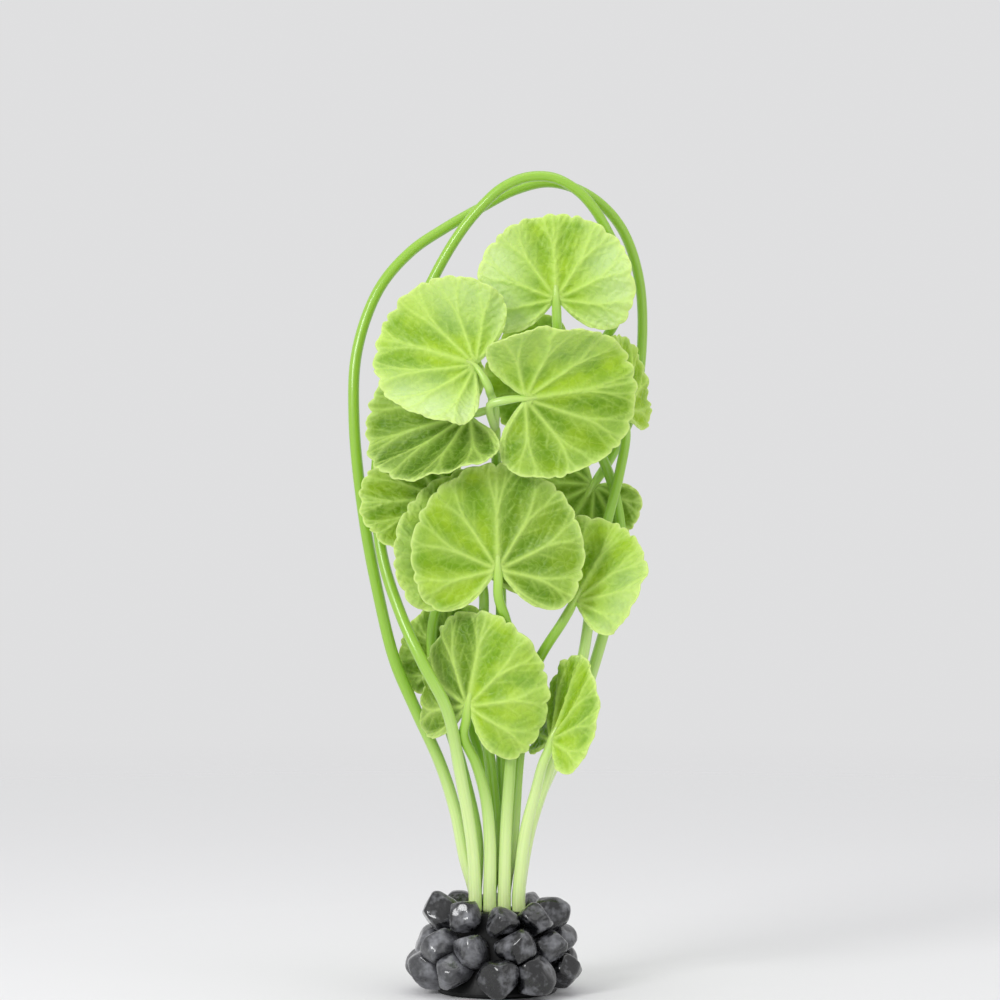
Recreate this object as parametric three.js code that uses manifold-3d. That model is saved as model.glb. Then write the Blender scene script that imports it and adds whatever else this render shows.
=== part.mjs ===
// Lawn pennywort for an aquarium, a soft plastic plant in a heap of dark pebbles.
//
// Millimetres, +Z up, front towards -Y. The origin is the middle of the flat underside of the
// resin bed, where the plant stands. Round crenate leaves stand on long bent petioles, and all
// petioles rise as one bundle from the top of the bed, inside three rings of pebbles.
import * as THREE from 'three';
import { mergeVertices } from 'three/addons/utils/BufferGeometryUtils.js';
import Module from 'manifold-3d';

const wasm = await Module();
wasm.setup();

// Driving dimensions
const gap = 0.3;
const leafThickness = 0.9;
const scallopCount = 22;
const scallopDepth = 0.04;
const bladeRings = [{ share: 0.36, stride: 4 }, { share: 0.72, stride: 2 }, { share: 1, stride: 1 }];
const shoulderDrop = 0.18;
const lobeTurn = 36;
const lobeEnd = 80;
const rippleWaves = 7;
const outlineSteps = 400;
const stemFootRadius = 1.3;
const stemTipRadius = 1.05;
const petioleRadius = 0.9;
const stemSides = 6;
const stemStep = 8.4;
const bedHeight = 16.5;
const bedFootRadius = 12;
const bedFootHeight = 1.2;
const bedTopRadius = 7.2;
const throatRadius = 6.9;
const footSpacing = 2.9;
const footRise = 3;
const leafRunIn = 3;
const bedSegments = 32;
const pebbleFill = 0.93;
const pebbleLump = 0.07;
const lumpRates = [3, 2.6];
const pebbleSeedStep = 2.4;

// How far a pebble departs from its even place, size and tilt, in mm, as a share or in degrees,
// and how fast that changes from one pebble to the next
const pebbleWander = {
  out: { most: 0.5, rate: 2.1 },
  up: { most: 0.9, rate: 2.7 },
  turn: { most: 5, rate: 3.3 },
  growth: { most: 0.13, rate: 1.9 },
  nod: { most: 28, rate: 1 },
  tilt: { most: 20, rate: 1.7 },
};

const finishes = {
  leaf: { color: 0x96be46, roughness: 0.45, metalness: 0 },
  stem: { color: 0xbee178, roughness: 0.35, metalness: 0 },
  bed: { color: 0x1c1e1d, roughness: 0.5, metalness: 0 },
  pebble: { color: 0x46484a, roughness: 0.25, metalness: 0 },
};

// A leaf blade: where its petiole joins it, the way its midrib points (heading in the front
// plane, lean towards the front), how far the blade is rolled about the midrib, its length and
// width ratio, the half angle of its open notch, and its curvatures in 1/mm, across the midrib
// (cup) and along it (arch). A positive curvature brings the margin towards the upper face.
const leaves = {
  leaf_upper_left: {
    at: [-4.2, -8.5, 125.4], heading: 162, lean: 0, roll: 18, length: 20.6, width: 1, notch: 62,
    cup: 0.045, arch: -0.01, ripple: 0.5,
  },
  leaf_top_right: {
    at: [11.8, -1.5, 138.6], heading: 92, lean: 0, roll: 0, length: 17.4, width: 1.05, notch: 38,
    cup: 0.02, arch: -0.012, ripple: 0.5,
  },
  leaf_centre_right: {
    at: [5.6, -11, 119], heading: 8, lean: 0, roll: 14, length: 22.4, width: 0.88, notch: 46,
    cup: 0.05, arch: -0.008, ripple: 0.6,
  },
  leaf_left: {
    at: [-5.4, -5.5, 115.6], heading: 194, lean: -4, roll: 30, length: 22.2, width: 0.82, notch: 54,
    cup: 0.045, arch: -0.01, ripple: 0.7,
  },
  leaf_lower_left: {
    at: [-10.4, 1.4, 98.6], heading: 182, lean: 3, roll: 12, length: 17.5, width: 0.8, notch: 56,
    cup: 0.04, arch: 0, ripple: 0.5,
  },
  leaf_centre: {
    at: [0.2, -8.5, 85], heading: 91, lean: 0, roll: 0, length: 21.4, width: 0.92, notch: 36,
    cup: 0.014, arch: 0.004, ripple: 0.4,
  },
  leaf_behind_centre: {
    at: [-3.4, -5.2, 84.8], heading: 99, lean: 0, roll: 0, length: 20.5, width: 0.94, notch: 42,
    cup: 0.01, arch: 0.004, ripple: 0.4,
  },
  leaf_lower_right: {
    at: [15.4, -3.5, 78.4], heading: 60, lean: 0, roll: -22, length: 18, width: 0.95, notch: 60,
    cup: 0.05, arch: -0.01, ripple: 0.5,
  },
  leaf_folded_centre: {
    at: [-5.6, -7.5, 57.8], heading: 80, lean: 6, roll: -28, length: 19.4, width: 0.92, notch: 28,
    cup: -0.05, arch: -0.006, ripple: 0.5,
  },
  leaf_folded_right: {
    at: [11.0, -7.1, 50.8], heading: 67, lean: 2, roll: -58, length: 18.4, width: 0.68, notch: 50,
    cup: -0.03, arch: 0.01, ripple: 0.5,
  },
  leaf_right_edge: {
    at: [25.4, 4, 116.4], heading: 97, lean: 0, roll: 44, length: 15.6, width: 0.66, notch: 46,
    cup: -0.02, arch: 0.006, ripple: 0.2,
  },
  leaf_back_upper: {
    at: [13, 10.5, 124], heading: 205, lean: 0, roll: 180, length: 16, width: 0.95, notch: 46,
    cup: -0.02, arch: 0.005, ripple: 0.4,
  },
  leaf_back_middle: {
    at: [19.5, 9.5, 101.4], heading: 237, lean: 0, roll: 0, length: 14, width: 0.95, notch: 46,
    cup: 0.02, arch: 0.005, ripple: 0.4,
  },
  leaf_back_lower: {
    at: [-8.4, 9.8, 64.5], heading: 103, lean: 0, roll: 0, length: 13.5, width: 0.95, notch: 46,
    cup: 0.02, arch: 0.005, ripple: 0.4,
  },
};

// A stem: the slot of its foot in the bundle (column and row), the route of its middle up to its
// leaf, and the leaf. The last stretch, onto the leaf, is worked out from the leaf's midrib.
const stems = {
  stem_arch_outer: {
    foot: [-1.5, 0], leaf: 'leaf_back_middle',
    route: [
      [-6.4, 0.4, 26.6], [-8.4, 1.8, 36.2], [-11.4, 4.0, 45.4], [-16.6, 6.0, 56.6],
      [-20.6, 6.2, 66.0], [-23.8, 5.8, 79.0], [-26.8, 6.0, 95.0], [-28.8, 6.8, 114.6],
      [-28.2, 8.6, 128.6], [-23.8, 10.4, 141.0], [-17.4, 11.6, 148.6], [-10.4, 12.2, 153.4],
      [-3.4, 12.6, 157.4], [4.0, 12.8, 161.2], [11.0, 13.0, 162.6], [18.6, 13.3, 160.0],
      [24.8, 13.5, 154.0], [28.7, 13.6, 144.0], [29.6, 13.4, 130.0], [27.2, 12.0, 115.6],
    ],
  },
  stem_arch_inner: {
    foot: [-1.5, -1], leaf: 'leaf_back_upper',
    route: [
      [-4.8, -3.4, 28.6], [-7.4, -6.4, 45.0], [-10.0, -8.6, 57.4], [-14.6, -7.8, 66.2],
      [-19.2, -4.2, 76.0], [-23.2, 1.2, 88.6], [-24.2, 4.6, 104.6], [-21.4, 5.4, 122.6],
      [-12.4, 6.4, 143.8], [-7.0, 6.6, 152.8], [-3.0, 6.6, 157.6], [1.0, 6.6, 161.2],
      [5.8, 6.6, 163.4], [11.2, 6.6, 163.4], [16.0, 6.6, 160.8], [19.4, 6.6, 157.2],
      [22.6, 7.0, 151.8], [25.4, 8.2, 145.6], [24.4, 9.8, 135.4],
    ],
  },
  stem_fork: {
    foot: [0.5, 1], tip: [-0.3, -6.4, 113.8],
    route: [
      [1.0, 2.2, 38.6], [1.0, 0.8, 58.6], [0.8, -0.6, 78.6], [0.2, -2.6, 98.6],
      [-0.2, -4.8, 108.0],
    ],
  },
  stem_centre: {
    foot: [0.5, -1], leaf: 'leaf_centre',
    route: [[1.8, -3.4, 33.0], [2.8, -4.4, 48.0], [3.4, -5.0, 62.0], [2.0, -7.2, 74.0]],
  },
  stem_folded_centre: {
    foot: [-0.5, -1], leaf: 'leaf_folded_centre',
    route: [[-1.4, -3.6, 30.0], [-2.2, -4.4, 39.0], [-4.2, -5.8, 46.4]],
  },
  stem_folded_right: {
    foot: [1.5, -1], leaf: 'leaf_folded_right',
    route: [[5.6, -3.4, 32.0], [7.8, -4.9, 41.0]],
  },
  stem_right_edge: {
    foot: [1.5, 0], leaf: 'leaf_right_edge',
    route: [
      [6.6, 0.2, 32.6], [11.0, 0.8, 46.0], [15.0, 1.2, 58.0], [17.4, 1.6, 68.0],
      [19.2, 2.2, 80.0], [21.6, 2.8, 92.0], [24.4, 3.4, 103.0],
    ],
  },
  stem_lower_right: {
    foot: [0.5, 0], leaf: 'leaf_lower_right',
    route: [[3.1, -0.2, 31.0], [4.6, -1.0, 49.0], [7.6, -2.2, 65.0]],
  },
  stem_lower_left: {
    foot: [-1.5, 1], leaf: 'leaf_lower_left',
    route: [
      [-4.0, 3.4, 30.0], [-7.2, 4.8, 45.0], [-12.0, 6.8, 60.6], [-13.0, 6.4, 73.0],
      [-7.6, 4.0, 88.0],
    ],
  },
  stem_behind_centre: {
    foot: [-0.5, 0], leaf: 'leaf_behind_centre',
    route: [[-0.2, -0.2, 29.0], [-1.0, -0.6, 43.0], [-2.8, -1.8, 57.0], [-2.8, -4.0, 70.0]],
  },
  stem_top_right: {
    foot: [1.5, 1], leaf: 'leaf_top_right',
    route: [
      [7.6, 4.0, 36.0], [12.6, 5.0, 47.6], [17.2, 5.6, 58.0], [20.6, 5.6, 68.6],
      [23.4, 5.6, 79.0], [25.0, 6.0, 90.0], [23.4, 6.2, 101.0], [19.0, 5.4, 112.0],
      [14.6, 3.0, 122.6], [12.4, 0.0, 130.0],
    ],
  },
  stem_back_lower: {
    foot: [-0.5, 1], leaf: 'leaf_back_lower',
    route: [[-1.0, 4.8, 31.0], [-2.8, 7.4, 44.0], [-5.4, 9.2, 53.0]],
  },
};

// The three short petioles that part at the top of the forked stem, by the route of their middle
const forkPetioles = {
  petiole_upper_left: [[-0.4, -7.8, 117.6], [-1.4, -8.1, 120.0], [-1.6, -9.6, 121.0]],
  petiole_centre_right: [[-1.4, -9.8, 117.6], [0.8, -10.6, 118.4], [3.9, -11.0, 118.9]],
  petiole_left: [[-0.7, -5.9, 116.4], [-2.2, -5.6, 116.5], [-3.9, -5.5, 116.0]],
};

// Rings of pebbles round the bed: how many, how far out, how high, half sizes and first angle.
// Each pebble wanders a little from its even place and size.
const pebbleRings = [
  { name: 'low', count: 10, radius: 13.6, height: 4.6, half: [4.6, 4.7, 4.4], first: -90 },
  { name: 'middle', count: 9, radius: 12.4, height: 10.5, half: [4.4, 4.4, 3.9], first: -72 },
  { name: 'high', count: 8, radius: 10.7, height: 15.9, half: [4.4, 4.1, 3.9], first: -88 },
];

const degrees = Math.PI / 180;

function rotateAbout(vector, axis, angle) {
  return vector.clone().applyAxisAngle(axis, angle * degrees);
}

// The blade's own frame: u along the midrib, v across it, n out of the upper face
function leafFrame(leaf) {
  const heading = leaf.heading * degrees;
  const lean = leaf.lean * degrees;
  const u = new THREE.Vector3(
    Math.cos(heading) * Math.cos(lean),
    -Math.sin(lean),
    Math.sin(heading) * Math.cos(lean),
  );
  const front = new THREE.Vector3(0, -1, 0);
  const flatNormal = front.addScaledVector(u, -front.dot(u)).normalize();
  const n = rotateAbout(flatNormal, u, leaf.roll);
  const v = new THREE.Vector3().crossVectors(n, u);
  return { origin: new THREE.Vector3(...leaf.at), u, v, n };
}

// Angle and reach of the blade's smooth outline, for a share from -1 to 1 of its half outline.
// The reach falls off gently up to the shoulder, and the lobe beside the notch is a quarter turn.
function outlinePoint(leaf, share) {
  const last = 180 - leaf.notch;
  const shoulder = last - lobeTurn;
  const turn = lobeTurn * degrees;
  const lobeLength = turn * lobeEnd * degrees;
  const lobeShare = lobeLength / (shoulder * degrees + lobeLength);
  const side = Math.abs(share);
  let angle = (shoulder * side) / (1 - lobeShare);
  let narrowing = 1;
  if (side > 1 - lobeShare) {
    const phi = ((side - 1 + lobeShare) / lobeShare) * lobeEnd * degrees;
    angle = shoulder + lobeTurn * Math.sin(phi);
    narrowing = Math.cos(phi);
  }
  const reach = (1 - shoulderDrop * (angle / shoulder) ** 2) * narrowing;
  return { angle: Math.sign(share) * angle * degrees, reach: leaf.length * reach };
}

// Points of the outline at equal steps along its length, two to each scallop
function outline(leaf) {
  const fine = [];
  let travelled = 0;
  for (let i = 0; i <= outlineSteps; i += 1) {
    const point = outlinePoint(leaf, (2 * i) / outlineSteps - 1);
    const u = point.reach * Math.cos(point.angle);
    const v = point.reach * Math.sin(point.angle) * leaf.width;
    if (i > 0) {
      travelled += Math.hypot(u - fine[i - 1].u, v - fine[i - 1].v);
    }
    fine.push({ u, v, travelled });
  }
  const points = [];
  let next = 0;
  for (let j = 0; j <= 2 * scallopCount; j += 1) {
    const wanted = (travelled * j) / (2 * scallopCount);
    while (next < outlineSteps && fine[next].travelled < wanted - 1e-9) {
      next += 1;
    }
    const inset = j % 2 === 0 && j > 0 && j < 2 * scallopCount ? 1 - scallopDepth : 1;
    points.push({ u: fine[next].u * inset, v: fine[next].v * inset });
  }
  return points;
}

// Rolls a flat direction onto an arc of the given curvature, and carries the height with it
function bend(along, height, curvature) {
  if (Math.abs(curvature) < 1e-6) {
    return [along, height];
  }
  const radius = 1 / curvature;
  const angle = along * curvature;
  return [(radius - height) * Math.sin(angle), radius - (radius - height) * Math.cos(angle)];
}

function bladePoint(leaf, frame, u, v, height) {
  const reach = Math.hypot(u, v) / leaf.length;
  const turn = Math.atan2(v, u);
  const wave = leaf.ripple * reach ** 3 * Math.sin(rippleWaves * turn + leaf.heading);
  const [across, lifted] = bend(v, height + wave, leaf.cup);
  const [along, raised] = bend(u, lifted, leaf.arch);
  return frame.origin.clone()
    .addScaledVector(frame.u, along)
    .addScaledVector(frame.v, across)
    .addScaledVector(frame.n, raised);
}

// A blade as two skins with a rim between them. Each skin is a fan round the petiole's end and
// two belts, and each belt has twice as many points outside as inside.
function leafGeometry(leaf) {
  const frame = leafFrame(leaf);
  const margin = outline(leaf);
  const positions = [];
  const indices = [];
  const addPoint = (u, v, height) => {
    const point = bladePoint(leaf, frame, u, v, height);
    positions.push(point.x, point.y, point.z);
    return positions.length / 3 - 1;
  };
  const addTriangle = (flip, a, b, c) => {
    indices.push(a, flip ? c : b, flip ? b : c);
  };
  const addSkin = (height, flip) => {
    const centre = addPoint(0, 0, height);
    const [inner, middle, outer] = bladeRings.map(({ share, stride }) => margin
      .filter((_, j) => j % stride === 0)
      .map((p) => addPoint(p.u * share, p.v * share, height)));
    for (let k = 0; k + 1 < inner.length; k += 1) {
      addTriangle(flip, centre, inner[k], inner[k + 1]);
    }
    [[inner, middle], [middle, outer]].forEach(([near, far]) => {
      for (let k = 0; k + 1 < near.length; k += 1) {
        addTriangle(flip, near[k], far[2 * k], far[2 * k + 1]);
        addTriangle(flip, near[k], far[2 * k + 1], near[k + 1]);
        addTriangle(flip, near[k + 1], far[2 * k + 1], far[2 * k + 2]);
      }
    });
    return [centre, inner[0], middle[0], ...outer, middle.at(-1), inner.at(-1)];
  };
  const top = addSkin(leafThickness / 2, false);
  const bottom = addSkin(-leafThickness / 2, true);
  for (let k = 0; k < top.length; k += 1) {
    const next = (k + 1) % top.length;
    indices.push(top[k], bottom[k], bottom[next], top[k], bottom[next], top[next]);
  }
  const geometry = new THREE.BufferGeometry();
  geometry.setAttribute('position', new THREE.Float32BufferAttribute(positions, 3));
  geometry.setIndex(indices);
  return geometry;
}

// A round stem along a smooth route, thinning from its foot to its tip
function stemGeometry(points, footRadius, tipRadius) {
  const curve = new THREE.CatmullRomCurve3(points.map((p) => new THREE.Vector3(...p)));
  const length = curve.getLength();
  const steps = Math.max(3, Math.round(length / stemStep));
  const frames = curve.computeFrenetFrames(steps, false);
  const positions = [];
  const indices = [];
  for (let i = 0; i <= steps; i += 1) {
    const middle = curve.getPointAt(i / steps);
    const radius = THREE.MathUtils.lerp(footRadius, tipRadius, i / steps);
    for (let j = 0; j < stemSides; j += 1) {
      const angle = (2 * Math.PI * (j + 0.5)) / stemSides;
      const point = middle.clone()
        .addScaledVector(frames.normals[i], radius * Math.cos(angle))
        .addScaledVector(frames.binormals[i], radius * Math.sin(angle));
      positions.push(point.x, point.y, point.z);
    }
  }
  for (let i = 0; i < steps; i += 1) {
    for (let j = 0; j < stemSides; j += 1) {
      const next = (j + 1) % stemSides;
      const [a, b] = [i * stemSides + j, i * stemSides + next];
      const [c, d] = [a + stemSides, b + stemSides];
      indices.push(a, b, d, a, d, c);
    }
  }
  const last = steps * stemSides;
  for (let j = 1; j < stemSides - 1; j += 1) {
    indices.push(0, j + 1, j);
    indices.push(last, last + j, last + j + 1);
  }
  const geometry = new THREE.BufferGeometry();
  geometry.setAttribute('position', new THREE.Float32BufferAttribute(positions, 3));
  geometry.setIndex(indices);
  return geometry;
}

// The last points of a stem, in line with the midrib, ending in the notch short of the blade
function approach(leafName) {
  const leaf = leaves[leafName];
  const frame = leafFrame(leaf);
  const clearance = (stemTipRadius + gap) / Math.tan(leaf.notch * degrees) + 2 * gap;
  return [clearance + leafRunIn, clearance].map((distance) => frame.origin.clone()
    .addScaledVector(frame.u, -distance).toArray());
}

// The first points of a stem, upright from its slot on top of the bed
function footPoints([column, row]) {
  return [gap, footRise].map((rise) => [column * footSpacing, row * footSpacing, bedHeight + rise]);
}

function toSolid(geometry) {
  const bare = geometry.clone();
  bare.deleteAttribute('normal');
  bare.deleteAttribute('uv');
  const merged = mergeVertices(bare, 1e-4);
  return new wasm.Manifold(new wasm.Mesh({
    numProp: 3,
    vertProperties: new Float32Array(merged.attributes.position.array),
    triVerts: new Uint32Array(merged.index.array),
  }));
}

function fromSolid(solid) {
  const mesh = solid.getMesh();
  const geometry = new THREE.BufferGeometry();
  geometry.setAttribute('position', new THREE.BufferAttribute(mesh.vertProperties, 3));
  geometry.setIndex(new THREE.BufferAttribute(mesh.triVerts, 1));
  return geometry;
}

// A turned body about the upright axis, from its outline in radius and height
function turned(profile, segments) {
  const points = profile.map(([radius, height]) => new THREE.Vector2(radius, height));
  return new THREE.LatheGeometry(points, segments).rotateX(Math.PI / 2);
}

// The bed is a disc under a blunt cone
const bedProfile = [
  [0, 0],
  [bedFootRadius, 0],
  [bedFootRadius, bedFootHeight],
  [bedTopRadius, bedHeight],
  [0, bedHeight],
];

// A number that differs from pebble to pebble, which all its departures are worked out from
function pebbleSeed(ring, index) {
  return pebbleSeedStep * index + ring.height;
}

function departure(kind, ring, index) {
  const { most, rate } = pebbleWander[kind];
  return most * Math.sin(rate * pebbleSeed(ring, index));
}

function pebbleTurn(ring, index) {
  return (ring.first + (360 * index) / ring.count + departure('turn', ring, index)) * degrees;
}

function pebbleCentre(ring, index) {
  const turn = pebbleTurn(ring, index);
  const radius = ring.radius + departure('out', ring, index);
  const height = ring.height + departure('up', ring, index);
  return new THREE.Vector3(radius * Math.cos(turn), radius * Math.sin(turn), height);
}

// A worn pebble: a ball of three half sizes, squared off a little and lumpy, turned on its ring
function pebbleGeometry(ring, index) {
  const geometry = new THREE.IcosahedronGeometry(1, 1);
  const position = geometry.attributes.position;
  const seed = pebbleSeed(ring, index);
  const half = new THREE.Vector3(...ring.half).multiplyScalar(1 + departure('growth', ring, index));
  const point = new THREE.Vector3();
  for (let i = 0; i < position.count; i += 1) {
    point.fromBufferAttribute(position, i);
    const fullness = Math.abs(point.x) ** 3 + Math.abs(point.y) ** 3 + Math.abs(point.z) ** 3;
    const swell = Math.sin(lumpRates[0] * point.x + seed) * Math.cos(lumpRates[1] * point.y - seed);
    const lump = 1 + pebbleLump * swell;
    point.multiplyScalar((pebbleFill * lump) / fullness ** (1 / 6)).multiply(half);
    position.setXYZ(i, point.x, point.y, point.z);
  }
  geometry.rotateY(departure('nod', ring, index) * degrees);
  geometry.rotateX(departure('tilt', ring, index) * degrees);
  geometry.rotateZ(pebbleTurn(ring, index) - Math.PI / 2);
  return geometry.translate(...pebbleCentre(ring, index));
}

// Keeps the part of a solid that lies beyond a point, in a direction
function keepBeyond(solid, point, direction) {
  return solid.trimByPlane(direction.toArray(), direction.dot(point));
}

// Cuts a pebble flat where it meets the ground, the bed's cone and the bundle of stems
function fitToBed(pebble) {
  const out = new THREE.Vector3(pebble.centre.x, pebble.centre.y, 0).normalize();
  const up = new THREE.Vector3(0, 0, 1);
  const slope = (bedFootRadius - bedTopRadius) / (bedHeight - bedFootHeight);
  const cone = out.clone().addScaledVector(up, slope).normalize();
  const rim = out.clone().multiplyScalar(bedTopRadius).addScaledVector(up, bedHeight);
  let solid = keepBeyond(pebble.whole, up.clone().multiplyScalar(gap), up);
  solid = keepBeyond(solid, rim.addScaledVector(cone, gap), cone);
  return keepBeyond(solid, out.clone().multiplyScalar(throatRadius), out);
}

// Cuts a pebble flat, half way to each pebble that it would run into
function fitToNeighbours(pebble, solid, pebbles) {
  let fitted = solid;
  pebbles.forEach((other) => {
    if (other !== pebble && pebble.whole.minGap(other.whole, gap) < gap) {
      const away = pebble.centre.clone().sub(other.centre).normalize();
      const middle = pebble.centre.clone().add(other.centre).multiplyScalar(0.5);
      fitted = keepBeyond(fitted, middle.addScaledVector(away, gap / 2), away);
    }
  });
  return fitted;
}

const object = new THREE.Group();
object.name = 'lawn_pennywort';

function addMesh(name, geometry, finish) {
  const mesh = new THREE.Mesh(geometry, new THREE.MeshStandardMaterial(finish));
  mesh.name = name;
  object.add(mesh);
}

function addBase() {
  addMesh('resin_bed', turned(bedProfile, bedSegments), finishes.bed);
  const pebbles = pebbleRings.flatMap((ring) => Array.from({ length: ring.count }, (_, index) => ({
    name: `pebble_${ring.name}_${String(index + 1).padStart(2, '0')}`,
    centre: pebbleCentre(ring, index),
    whole: toSolid(pebbleGeometry(ring, index)),
  })));
  pebbles.forEach((pebble) => {
    const solid = fitToNeighbours(pebble, fitToBed(pebble), pebbles);
    addMesh(pebble.name, fromSolid(solid), finishes.pebble);
  });
}

function addStems() {
  Object.entries(stems).forEach(([name, stem]) => {
    const end = stem.leaf ? approach(stem.leaf) : [stem.tip];
    const route = [...footPoints(stem.foot), ...stem.route, ...end];
    addMesh(name, stemGeometry(route, stemFootRadius, stemTipRadius), finishes.stem);
  });
  Object.entries(forkPetioles).forEach(([name, route]) => {
    addMesh(name, stemGeometry(route, petioleRadius, petioleRadius), finishes.stem);
  });
}

function addLeaves() {
  Object.entries(leaves).forEach(([name, leaf]) => {
    addMesh(name, leafGeometry(leaf), finishes.leaf);
  });
}

addBase();
addStems();
addLeaves();

export default object;
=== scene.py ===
import bpy
import numpy as np
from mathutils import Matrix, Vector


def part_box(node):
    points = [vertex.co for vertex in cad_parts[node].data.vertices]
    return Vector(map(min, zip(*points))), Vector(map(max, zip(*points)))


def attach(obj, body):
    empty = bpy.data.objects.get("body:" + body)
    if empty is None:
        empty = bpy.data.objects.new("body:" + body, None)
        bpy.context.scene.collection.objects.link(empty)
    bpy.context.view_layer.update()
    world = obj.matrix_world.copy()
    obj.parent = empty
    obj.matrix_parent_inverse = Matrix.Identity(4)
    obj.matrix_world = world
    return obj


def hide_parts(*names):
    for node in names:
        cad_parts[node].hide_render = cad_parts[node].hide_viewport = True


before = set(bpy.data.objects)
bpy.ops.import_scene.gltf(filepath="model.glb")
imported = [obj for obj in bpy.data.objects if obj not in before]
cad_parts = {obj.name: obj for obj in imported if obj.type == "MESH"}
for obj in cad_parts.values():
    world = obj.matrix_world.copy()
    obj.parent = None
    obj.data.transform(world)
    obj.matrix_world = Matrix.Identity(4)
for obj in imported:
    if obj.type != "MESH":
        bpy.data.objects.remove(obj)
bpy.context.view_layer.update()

bl_info = {
    "name": "Lawn pennywort",
    "version": (1, 0, 0),
    "blender": (4, 5, 0),
    "location": "3D View > Sidebar > Pennywort",
    "description": "Builds the leaves, stems, pebbles and stage of an aquarium pennywort",
    "category": "Object",
}

MM = 0.001
# In mm: the gap between two solids, the distance within which two points are one, the width of a
# square of the UV map, and the high corner of the resin bed's box
GAP = 0.3
WELD = 1e-4
UV_WIDTH = 50
bed_high = np.array(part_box("resin_bed")[1]) / MM

# A leaf blade, in mm and degrees: where its petiole joins it, the way its midrib points (heading
# in the front plane, lean towards the front), how far it is rolled about the midrib, its length
# and width ratio, the half angle of its open notch, its curvatures in 1/mm across the midrib (cup)
# and along it (arch), the height of its ripple, and the painted light and shade of each lobe, left
# and right, from -1, painted shade in the deepest green, to 1, a painted highlight in the palest.
LEAF_TABLE = {
    "upper_left": ((-4.2, -8.5, 125.4), 162, 0, 18, 20.6, 1, 62, 0.045, -0.01, 0.5, (0.95, 0.6)),
    "top_right": ((11.8, -1.5, 138.6), 92, 0, 0, 17.4, 1.05, 38, 0.02, -0.012, 0.5, (0.95, 0.75)),
    "centre_right": ((5.6, -11, 119), 8, 0, 14, 22.4, 0.88, 46, 0.05, -0.008, 0.6, (0.3, -0.4)),
    "left": ((-5.4, -5.5, 115.6), 194, -4, 30, 22.2, 0.82, 54, 0.045, -0.01, 0.7, (-1, -0.75)),
    "lower_left": ((-10.4, 1.4, 98.6), 182, 3, 12, 17.5, 0.8, 56, 0.04, 0, 0.5, (-0.4, -0.4)),
    "centre": ((0.2, -8.5, 85), 91, 0, 0, 21.4, 0.92, 36, 0.014, 0.004, 0.4, (-0.1, -0.65)),
    "behind_centre": ((-3.4, -5.2, 84.8), 99, 0, 0, 20.5, 0.94, 42, 0.01, 0.004, 0.4, (0.2, 0)),
    "lower_right": ((15.4, -3.5, 78.4), 60, 0, -22, 18, 0.95, 60, 0.05, -0.01, 0.5, (0.15, 0.6)),
    "folded_centre": ((-5.6, -7.5, 57.8), 80, 6, -28, 19.4, 0.92, 28, -0.05, -0.006, 0.5,
                      (-0.9, 0.1)),
    "folded_right": ((11, -7.1, 50.8), 67, 2, -58, 18.4, 0.68, 50, -0.03, 0.01, 0.5, (-0.3, 0.1)),
    "right_edge": ((25.3, 4, 116.4), 97, 0, 44, 15.5, 0.66, 46, -0.02, 0.006, 0.2, (-0.1, -0.1)),
    "back_upper": ((13, 10.5, 124), 205, 0, 180, 16, 0.95, 46, -0.02, 0.005, 0.4, (-0.2, -0.2)),
    "back_middle": ((19.5, 9.5, 101.4), 237, 0, 0, 14, 0.95, 46, 0.02, 0.005, 0.4, (-0.7, -0.7)),
    "back_lower": ((-8.4, 9.8, 64.5), 103, 0, 0, 13.5, 0.95, 46, 0.02, 0.005, 0.4, (-0.9, -0.9)),
}
LEAF_TERMS = ("at", "heading", "lean", "roll", "length", "width", "notch", "cup", "arch",
              "ripple", "tone")
LEAVES = {name: dict(zip(LEAF_TERMS, terms)) for name, terms in LEAF_TABLE.items()}

# Rows of a blade's grid, as shares of a line to the margin, and how far ahead of the petiole's end
# these lines start, in mm
LEAF_ROWS = (*np.linspace(0, 0.92, 27), 0.945, 0.965, 0.98, 0.99, 0.996, 1)
GRID_START = 1.2
# How much the reach has fallen at the shoulder, as a share, and the turn of a lobe in degrees
SHOULDER_DROP = 0.18
LOBE_TURN = 36
RIPPLE_WAVES = 7
# Points of the fine curves that even steps are measured on: a blade's outline, and a stem between
# two points of its route
OUTLINE_POINTS = 6001
ROUTE_POINTS = 60
# At the margin: the share of the blade's thickness, and in mm, over what distance its skins part
MARGIN_SHARE = 0.45
EDGE_ROUND = 0.3

# The main veins, the side veins on each side of one, the angle in degrees from the last main vein
# to the notch, and where a main vein parts and parts again, as shares of the reach
MAIN_VEINS = 9
SIDE_VEINS = 3
LAST_VEIN = 9
FORKS = (0.45, 0.75)
# In mm: the width of a vein's bell curve at the petiole's end, and how much of it is gone at the
# margin
MIDRIB_WIDTH, MIDRIB_TAPER = 0.95, 0.6
VEIN_WIDTH, VEIN_TAPER = 0.62, 0.3
SIDE_VEIN_WIDTH = 0.26
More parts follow.
